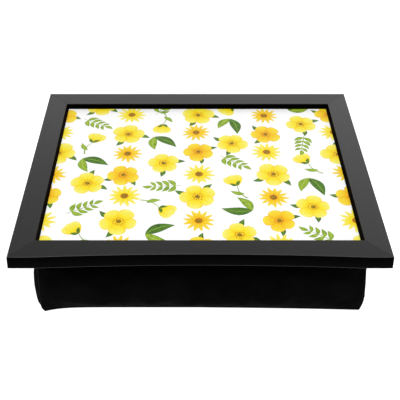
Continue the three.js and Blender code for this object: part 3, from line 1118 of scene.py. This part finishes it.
def seam_cloth():
    """The folded cloth of a seam, painted paler than the cover as a painted highlight, and too narrow to
    show its threads apart.
    """
    finish = cloth_finish("black_seam_cloth")
    # The seam's tones are paler than the cover's: a painted highlight along the seam, with painted shade
    # towards the top.
    cloth_tone(finish, SEAM_HIGHLIGHT_SHADED_TOP, SEAM_HIGHLIGHT_LIT_FOOT)
    bump(finish, speckle(finish, coordinates(finish), 1300, detail=2), 0.2 * MM, 0.7)
    return finish


COVER_CLOTH = woven_cover()
SEAM_CLOTH = seam_cloth()
print("cloth:", COVER_CLOTH.name, "and", SEAM_CLOTH.name)

# %% [markdown]
# ## Cut and fill the cover
# A boxed bag is sewn from six flat panels. So the cover starts as a cube at the bag's size, cut into cells
# of a few millimetres. Filled with beads, its sides swell between the seams, its seams are drawn in, its
# upright corners go round, and the eight corners stay pinched as ears. This bag has slipped a little to
# the right, where its beads have run and pull its lower edge down, and its left panel is drawn round the
# corners to the front and the back. A formula moves every point of the box to that form, and cloth with
# air pressure then gives it the slackness and folds of real fabric.

# %% Model the cover as a box
CELL = 6.5 * MM
PANEL_BULGE = 4 * MM
HALF_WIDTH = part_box("cushion_right_panel")[1].x - PANEL_BULGE
HALF_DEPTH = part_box("cushion_back_panel")[1].y - PANEL_BULGE


def open_box(name, sizes, foot=0.0):
    """A new box over the origin, with its foot at a height, in edit mode with all of it picked."""
    bpy.ops.mesh.primitive_cube_add(size=1)
    box = new_piece(name)
    edit(box)
    resize(*sizes)
    move(z=foot + sizes[2] / 2)
    return box


def edge_along(axis):
    """A test for edges that run along one axis."""
    others = [index for index in range(3) if index != axis]
    return lambda edge: all(abs(edge.verts[0].co[i] - edge.verts[1].co[i]) < NEAR for i in others)


def cover_box():
    sizes = (2 * HALF_WIDTH, 2 * HALF_DEPTH, CUSHION_TOP)
    cover = open_box("cushion_cover", sizes)
    for axis, size in enumerate(sizes):
        pick("EDGE", edge_along(axis))
        bpy.ops.mesh.subdivide(number_cuts=round(size / CELL) - 1)
    pick_all()
    bpy.ops.uv.cube_project(cube_size=1.0)
    leave_edit()
    return cover


def mark_sewn(cover):
    """Keep each point's place on the box: across and along from -1 to 1, and rise from 0 to 1."""
    sewn = cover.data.attributes.new("sewn", "FLOAT_VECTOR", "POINT")
    for vertex, mark in zip(cover.data.vertices, sewn.data):
        mark.vector = (vertex.co.x / HALF_WIDTH, vertex.co.y / HALF_DEPTH, vertex.co.z / CUSHION_TOP)


cover = cover_box()
mark_sewn(cover)
print("cover box:", faces_of(cover), "cells")

# %% The form of a side panel
CORNER_RADIUS = 12 * MM
SEAM_DRAW = 3 * MM
SWELL_POWERS = {"foot": 6, "top": 12}
FULLEST = 0.2
TOP_TUCKS = {"left": (4.7 * MM, 2.1), "right": (6.2 * MM, 1.4), "ends": (1.5 * MM, 2)}
FOOT_TUCKS = {"left": (9 * MM, 4), "right": (7 * MM, 2), "ends": (1 * MM, 4)}


def corner_tuck(rise, side):
    """How far a corner is drawn in above and below its fullest level."""
    if rise > FULLEST:
        tuck, power = TOP_TUCKS[side]
        return tuck * ((rise - FULLEST) / (1 - FULLEST)) ** power
    tuck, power = FOOT_TUCKS[side]
    return tuck * ((FULLEST - rise) / FULLEST) ** power


def side_place(share, rise, half_along, half_out, fade, bulge, corner_share):
    """A point of a side panel: how far it is along the side and how far out. Round each upright corner, the
    panel goes as far as its share of the quarter turn, and its neighbour takes the rest."""
    power = SWELL_POWERS["top" if rise > 0.5 else "foot"]
    swell = 1 - abs(2 * rise - 1) ** power
    radius = CORNER_RADIUS * swell
    straight = half_along - radius
    from_middle = abs(share) * (straight + radius * corner_share * math.pi / 2)
    turn = max(0.0, from_middle - straight) / max(radius, NEAR)
    along = min(from_middle, straight) + radius * math.sin(turn)
    bow = fade * (bulge * swell - SEAM_DRAW * (1 - swell))
    return math.copysign(along, share), half_out - radius * (1 - math.cos(turn)) + bow


print("upright corners", CORNER_RADIUS / MM, "mm round, fullest at", FULLEST, "of the height")

# %% Fill it
START_EASE = 0.4 * MM
SIDE_BULGE = 2.2 * MM
SIDE_FULLER = 2.35 * MM
CORNER_SHARES = {"left": (0.3, 0.33), "right": (0.5, 0.5)}
EAR_POWERS = {"left": 11, "right": 2}
EAR_LIFT = 1 * MM
FOOT_LIFT = 3.7 * MM
RIGHT_SAG = 1.2 * MM
TOP_FALL = 3 * MM
EDGE_ROLL = 38 * MM
SLIPPED_RIGHT = 2 * MM
SAME_SHARE = 1e-4


def is_at(share, limit):
    """Whether a point's place on the box is at a limit of it."""
    return abs(share - limit) < SAME_SHARE


def border_roll(across, along):
    """How far a point of the top or bottom is into its rolled border: 0 on the flat, 1 at the seam."""
    inwards = min((1 - abs(across)) * HALF_WIDTH, (1 - abs(along)) * HALF_DEPTH)
    return max(0.0, 1 - inwards / EDGE_ROLL)


def foot_lift(across, across_fade, along_fade):
    """How far the bottom seam is lifted: least at the ears, and less on the right, where the beads ran."""
    front = FOOT_LIFT * across_fade if across < 0 else FOOT_LIFT - RIGHT_SAG * math.sqrt(across)
    return EAR_LIFT + max(front, FOOT_LIFT * along_fade)


def filled_place(across, along, rise):
    """Where a point of the sewn box goes when the bag is filled."""
    side = "left" if across < 0 else "right"
    across_fade = 1 - abs(across) ** EAR_POWERS[side]
    along_fade = 1 - along ** 2
    half_x = HALF_WIDTH + SIDE_FULLER - corner_tuck(rise, side)
    half_y = HALF_DEPTH - START_EASE - corner_tuck(rise, "ends")
    at_foot, at_top = CORNER_SHARES[side]
    end_share = at_foot + rise * (at_top - at_foot)
    if is_at(abs(along), 1):
        x, out = side_place(across, rise, half_x, half_y, across_fade, PANEL_BULGE, end_share)
        y = math.copysign(out, along)
    elif is_at(abs(across), 1):
        y, out = side_place(along, rise, half_y, half_x, along_fade, SIDE_BULGE, 1 - end_share)
        x = math.copysign(out, across)
    else:
        x = across * (half_x - SEAM_DRAW * along_fade)
        y = along * (half_y - SEAM_DRAW * across_fade)
    roll = border_roll(across, along) ** 2
    low = foot_lift(across, across_fade, along_fade) * roll
    high = CUSHION_TOP - TOP_FALL * roll
    return Vector((x + SLIPPED_RIGHT, y, low + rise * (high - low)))


def sewn_places(piece):
    return [tuple(mark.vector) for mark in piece.data.attributes["sewn"].data]


for vertex, place in zip(cover.data.vertices, sewn_places(cover)):
    vertex.co = filled_place(*place)
print("filled to", in_mm(cover.dimensions), "mm")

# %% Hold the seams and the flats
def seam_gaps(across, along, rise):
    """The distances from a point of the box to its sides, in order, each with its place along that way."""
    return sorted([
        ((1 - abs(across)) * HALF_WIDTH, across * HALF_WIDTH),
        ((1 - abs(along)) * HALF_DEPTH, along * HALF_DEPTH),
        (min(rise, 1 - rise) * CUSHION_TOP, rise * CUSHION_TOP),
    ])


def lies_flat(rise):
    return is_at(rise, 0) or is_at(rise, 1)


def held_share(across, along, rise):
    """How firmly a point is held: fully at the seams and on the flats that lie against something."""
    if seam_gaps(across, along, rise)[1][0] < NEAR:
        return 1.0
    return 1.0 - border_roll(across, along) if lies_flat(rise) else 0.0


def hold_points(piece):
    """Write how firmly each point is held, and count the ones that can't move at all."""
    group = piece.vertex_groups.new(name="held")
    shares = [held_share(*place) for place in sewn_places(piece)]
    for index, share in enumerate(shares):
        group.add([index], share, "REPLACE")
    return shares.count(1.0)


print(hold_points(cover), "points held")

# %% Blow it up as cloth
PRESSURE = 4.0
SLACK = -0.03
CLOTH_FRAMES = 20
CLOTH_REACH = 1.5 * MM


def run_cloth(piece):
    """Blow the piece up as cloth, weightless and a little slack, and apply what comes out."""
    choose(piece)
    bpy.ops.object.modifier_add(type="CLOTH")
    modifier = piece.modifiers[-1]
    cloth = modifier.settings
    cloth.vertex_group_mass = "held"
    cloth.use_pressure = True
    cloth.uniform_pressure_force = PRESSURE
    cloth.shrink_min = SLACK
    cloth.effector_weights.gravity = 0
    for number in range(1, CLOTH_FRAMES + 1):
        bpy.context.scene.frame_set(number)
    bpy.ops.object.modifier_apply(modifier=modifier.name)
    bpy.context.scene.frame_set(1)


def pull_back(piece, before):
    """Pull back each point that went too far, and tell how far the furthest one went."""
    furthest = 0.0
    for vertex, start in zip(piece.data.vertices, before):
        shift = vertex.co - start
        furthest = max(furthest, shift.length)
        if shift.length > CLOTH_REACH:
            vertex.co = start + shift * (CLOTH_REACH / shift.length)
    return furthest


before = [vertex.co.copy() for vertex in cover.data.vertices]
run_cloth(cover)
print("cloth moved up to", round(pull_back(cover, before) / MM, 2), "mm")
cover.vertex_groups.clear()

# %% Crease the seams and smooth the rest
def on_seam(edge, layer):
    """Whether both ends of an edge are on the same edge of the sewn box."""
    ends = [vertex[layer] for vertex in edge.verts]
    shared = 0
    for axis, limits in ((0, (-1, 1)), (1, (-1, 1)), (2, (0, 1))):
        shared += any(all(is_at(end[axis], limit) for end in ends) for limit in limits)
    return shared >= 2


def pick_seams(piece):
    """Step into edit mode with only the seams selected, and count their edges."""
    edit(piece)
    layer = bmesh.from_edit_mesh(piece.data).verts.layers.float_vector["sewn"]
    return pick("EDGE", lambda edge: on_seam(edge, layer))


creased = pick_seams(cover)
bpy.ops.transform.edge_crease(value=1)
apply_modifier(cover, "SUBSURF", levels=1, render_levels=1)
print("cover:", creased, "creased edges,", faces_of(cover), "faces")

# %% [markdown]
# ## Puckers, lumps and seams
# A seam gathers the cloth beside it into short puckers, and loose beads push it out in soft lumps. Both
# are too regular or too fine for the cloth run, so noise and a wavering wave move the points along their
# normals. The seams are then drawn from the cover's own edges: copied off, turned into curves, and given a
# round section.

# %% Gather the cloth at its seams
PUCKER_DEPTH = 0.5 * MM
PUCKER_PITCH = 15 * MM
PUCKER_PEAK = 6 * MM
PUCKER_REACH = 24 * MM
LUMP_HEIGHT = 0.6 * MM
LUMPS_PER_METRE = 20
FLOOR_CLEARANCE = 0.3 * MM


def pucker_depth(across, along, rise):
    """How deep the cloth is gathered at a point: nothing on the seam, most a little way in, then fading."""
    gaps = seam_gaps(across, along, rise)
    distance = gaps[1][0]
    along_seam = gaps[2][1]
    fade = min(distance / PUCKER_PEAK, 1.0) * max(0.0, 1 - distance / PUCKER_REACH)
    # One noise drifts along each seam and varies the pitch, and a slower one leaves some puckers out.
    key = Vector((along_seam / PUCKER_PITCH * 0.4, across * 2 + along * 3, rise * 2))
    waver = along_seam / PUCKER_PITCH + noise.noise(key)
    strength = 0.5 + noise.noise(key * 0.7 + Vector((7, 0, 0)))
    return PUCKER_DEPTH * fade * max(0.0, strength) * (1 + math.sin(math.tau * waver)) / 2


def lump_height(point, place):
    """How far the beads push a point out: not at all on the flats, and little beside a seam."""
    if lies_flat(place[2]):
        return 0.0
    free = min(1.0, seam_gaps(*place)[1][0] / PUCKER_PEAK)
    return LUMP_HEIGHT * noise.noise(point * LUMPS_PER_METRE) * free


def gather(piece):
    places = sewn_places(piece)
    normals = [vertex.normal.copy() for vertex in piece.data.vertices]
    for vertex, place, normal in zip(piece.data.vertices, places, normals):
        vertex.co += normal * (lump_height(vertex.co, place) - pucker_depth(*place))
        vertex.co.z = min(max(vertex.co.z, FLOOR_CLEARANCE), CUSHION_TOP)


gather(cover)
print("gathered to", in_mm(cover.dimensions), "mm")

# %% Finish the cover
COVER_SMOOTH = 60

dress(cover, COVER_CLOTH)
smooth(cover, COVER_SMOOTH)
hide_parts(*(f"cushion_{side}_panel" for side in (*SIDES, "top", "bottom")), "bead_fill")
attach(cover, "cushion")
print("cover is", in_mm(cover.dimensions), "mm")

# %% Draw the seams
SEAM_RADIUS = 0.9 * MM


def draw_seams(piece):
    """Copy the seams off a piece and give them a round section. The count is of their edges."""
    count = pick_seams(piece)
    bpy.ops.mesh.duplicate()
    bpy.ops.mesh.separate(type="SELECTED")
    leave_edit()
    seams = next(thing for thing in bpy.context.selected_objects if thing != piece)
    choose(seams)
    bpy.ops.object.convert(target="CURVE")
    seams.data.bevel_depth = SEAM_RADIUS
    seams.data.bevel_resolution = 2
    seams.data.use_fill_caps = True
    bpy.ops.object.convert(target="MESH")
    return new_piece("cushion_seams"), count


seams, seam_edges = draw_seams(cover)
dress(seams, SEAM_CLOTH)
bpy.ops.object.shade_smooth()
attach(seams, "cushion")
print("seams:", seam_edges, "edges,", faces_of(seams), "faces")

# %% [markdown]
# ## Hook-and-loop strips
# Four strips of nylon tape let the tray peel off its cushion, so that the cover can be washed. The loop
# half is sewn to the cover with a line of stitches, and the hook half is glued under the hardboard. A
# strip is webbing with a raised field of loops or hooks set in from its edge, so it is a box that is
# rounded at its corners, inset and extruded. One hook and one stitch are modelled, and copies fill the
# field and the edge.

# %% Tape finishes
def hook_nylon():
    finish = new_finish("black_hook_nylon", grey(0.012), 0.4, Specular_IOR_Level=0.4)
    ribs = speckle(finish, coordinates(finish, scale=(1, 8, 1)), 600, detail=2)
    feed(finish, "Base Color", ramp(finish, ribs, (0.3, grey(0.008)), (0.7, grey(0.018))))
    bump(finish, ribs, 0.08 * MM, 0.5)
    return finish


def loop_pile():
    constants = {"Specular_IOR_Level": 0.15, "Sheen_Weight": 0.35, "Sheen_Roughness": 0.5}
    finish = new_finish("black_loop_pile", grey(0.01), 0.95, **constants)
    fuzz = speckle(finish, coordinates(finish), 1500, detail=6, roughness=0.75)
    feed(finish, "Base Color", ramp(finish, fuzz, (0.35, grey(0.004)), (0.65, grey(0.022))))
    bump(finish, fuzz, 0.5 * MM, 0.9)
    return finish


def black_thread():
    finish = new_finish("black_thread", grey(0.02), 0.5, Specular_IOR_Level=0.4)
    twist = speckle(finish, coordinates(finish), 2600, detail=2)
    feed(finish, "Base Color", ramp(finish, twist, (0.35, grey(0.012)), (0.65, grey(0.035))))
    bump(finish, twist, 0.1 * MM, 0.6)
    return finish


HOOK_NYLON = hook_nylon()
LOOP_PILE = loop_pile()
THREAD_FINISH = black_thread()
print("tape finishes:", [finish.name for finish in (HOOK_NYLON, LOOP_PILE, THREAD_FINISH)])

# %% Model the strips
TAPE_CORNER = 4 * MM
TAPE_EDGE = 1.6 * MM
TAPE_SMOOTH = 40
WEBBING = 0.7 * MM
PILE_EASE = 0.4 * MM
HOOK_BASE = 0.3 * MM

loop_low, loop_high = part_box("loop_tape_front_left")
TAPE_SIZE = loop_high - loop_low


def is_upright(edge):
    return abs(edge.verts[0].co.z - edge.verts[1].co.z) > NEAR


def on_field_rim(edge):
    return not is_upright(edge) and edge.verts[0].co.z > WEBBING + NEAR


def faces_up(face):
    return face.normal.z > FLAT


def tape_strip(name, field):
    """A strip lying on Z 0: webbing with rounded corners, and a field raised on it, set in from its edge."""
    strip = open_box(name, (TAPE_SIZE.x, TAPE_SIZE.y, WEBBING))
    pick("EDGE", is_upright)
    bevel(TAPE_CORNER, 5)
    pick("FACE", faces_up)
    bpy.ops.mesh.inset(thickness=TAPE_EDGE)
    extrude(z=field)
    pick("EDGE", on_field_rim)
    bevel(min(PILE_EASE, field / 2), 3)
    leave_edit()
    smooth(strip, TAPE_SMOOTH)
    return strip


loop_blank = tape_strip("loop_blank", TAPE_SIZE.z - WEBBING)
hook_blank = tape_strip("hook_blank", HOOK_BASE)
print("strip", in_mm(TAPE_SIZE), "mm")

# %% Fill the hook field
HOOK_PITCH = 2.1 * MM
HOOK_HEIGHT = TAPE_SIZE.z - WEBBING - HOOK_BASE
HOOK_WIDTH = 0.35 * MM
HOOK_LEAN = 0.7 * HOOK_WIDTH
HOOK_REACH = 0.9 * HOOK_WIDTH
HOOK_DROP = 0.6 * HOOK_WIDTH
FORWARD = 0.5


def on_hook_front(face):
    return face.normal.x > FORWARD and face.calc_center_median().z > HOOK_HEIGHT - HOOK_WIDTH


def one_hook():
    """A nylon hook: a stem that rises, leans over and turns down again."""
    hook = open_box("hook", (HOOK_WIDTH, HOOK_WIDTH, HOOK_WIDTH))
    pick("FACE", faces_up)
    extrude(z=HOOK_HEIGHT - HOOK_WIDTH - HOOK_LEAN)
    extrude(x=HOOK_LEAN, z=HOOK_LEAN)
    pick("FACE", on_hook_front)
    extrude(x=HOOK_REACH, z=-HOOK_DROP)
    face_outwards()
    leave_edit()
    return hook


def hook_field():
    """Hooks in rows and columns, from one array inside another, centred on the strip."""
    hook = one_hook()
    columns = math.floor((TAPE_SIZE.x - 2 * TAPE_CORNER) / HOOK_PITCH)
    rows = math.floor((TAPE_SIZE.y - 2 * TAPE_CORNER) / HOOK_PITCH)
    spacing = {"use_relative_offset": False, "use_constant_offset": True}
    for count, step in ((columns, (HOOK_PITCH, 0, 0)), (rows, (0, HOOK_PITCH, 0))):
        apply_modifier(hook, "ARRAY", count=count, constant_offset_displace=step, **spacing)
    hook.location = (-(columns - 1) * HOOK_PITCH / 2, -(rows - 1) * HOOK_PITCH / 2, WEBBING + HOOK_BASE)
    settle(hook)
    return hook


hook_blank = joined([hook_field(), hook_blank], "hook_blank")
print("hook strip:", faces_of(hook_blank), "faces")

# %% Stitch the loop strips
STITCH_LENGTH = 2.8 * MM
STITCH_WIDTH = 0.55 * MM
STITCH_EASE = 0.3 * STITCH_WIDTH
STITCH_PITCH = 4 * MM


def one_stitch():
    """A short, fat length of thread, sunk by half its thickness into the webbing's edge."""
    sizes = (STITCH_LENGTH, STITCH_WIDTH, STITCH_WIDTH)
    stitch = open_box("stitch", sizes, foot=WEBBING - STITCH_WIDTH / 2)
    bevel(STITCH_EASE, 1)
    leave_edit()
    return stitch


def stitch_line():
    """Stitches round the strip's edge, along its two long sides and its two ends."""
    stitch = one_stitch()
    reach_x = TAPE_SIZE.x / 2 - TAPE_EDGE / 2
    reach_y = TAPE_SIZE.y / 2 - TAPE_EDGE / 2
    line = []
    for length, reach, turn in ((TAPE_SIZE.x, reach_y, 0), (TAPE_SIZE.y, reach_x, math.pi / 2)):
        count = math.floor((length - 2 * TAPE_CORNER) / STITCH_PITCH)
        for index in range(count):
            along = (index - (count - 1) / 2) * STITCH_PITCH
            for side in (-1, 1):
                copy = copy_of(stitch)
                copy.location = (along, side * reach, 0) if turn == 0 else (side * reach, along, 0)
                copy.rotation_euler.z = turn
                line.append(copy)
    discard(stitch)
    return joined(line, "stitch_line")


stitch_blank = stitch_line()
print("stitches:", faces_of(stitch_blank), "faces a strip")

# %% Lay the strips
CORNERS = ("front_left", "front_right", "back_right", "back_left")


def lay(blank, name, node, finish, body, upside_down=False):
    """Copy a strip to the middle of its node, right way up or hanging from the node's top."""
    low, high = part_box(node)
    piece = copy_of(blank)
    piece.name = name
    piece.location = ((low.x + high.x) / 2, (low.y + high.y) / 2, high.z if upside_down else low.z)
    piece.rotation_euler.x = math.pi if upside_down else 0
    settle(piece)
    dress(piece, finish)
    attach(piece, body)
    return piece


for corner in CORNERS:
    hook_node = f"hook_tape_{corner}"
    loop_node = f"loop_tape_{corner}"
    hooks = lay(
        hook_blank, f"hooks_{corner}", hook_node, HOOK_NYLON, "tray", upside_down=True
    )
    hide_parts(f"hook_tape_{corner}")
    loops = lay(loop_blank, f"loops_{corner}", loop_node, LOOP_PILE, "cushion")
    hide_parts(f"loop_tape_{corner}")
    lay(stitch_blank, f"stitches_{corner}", loop_node, THREAD_FINISH, "cushion")
for blank in (hook_blank, loop_blank, stitch_blank):
    discard(blank)
print(len(CORNERS), "pairs of strips laid")
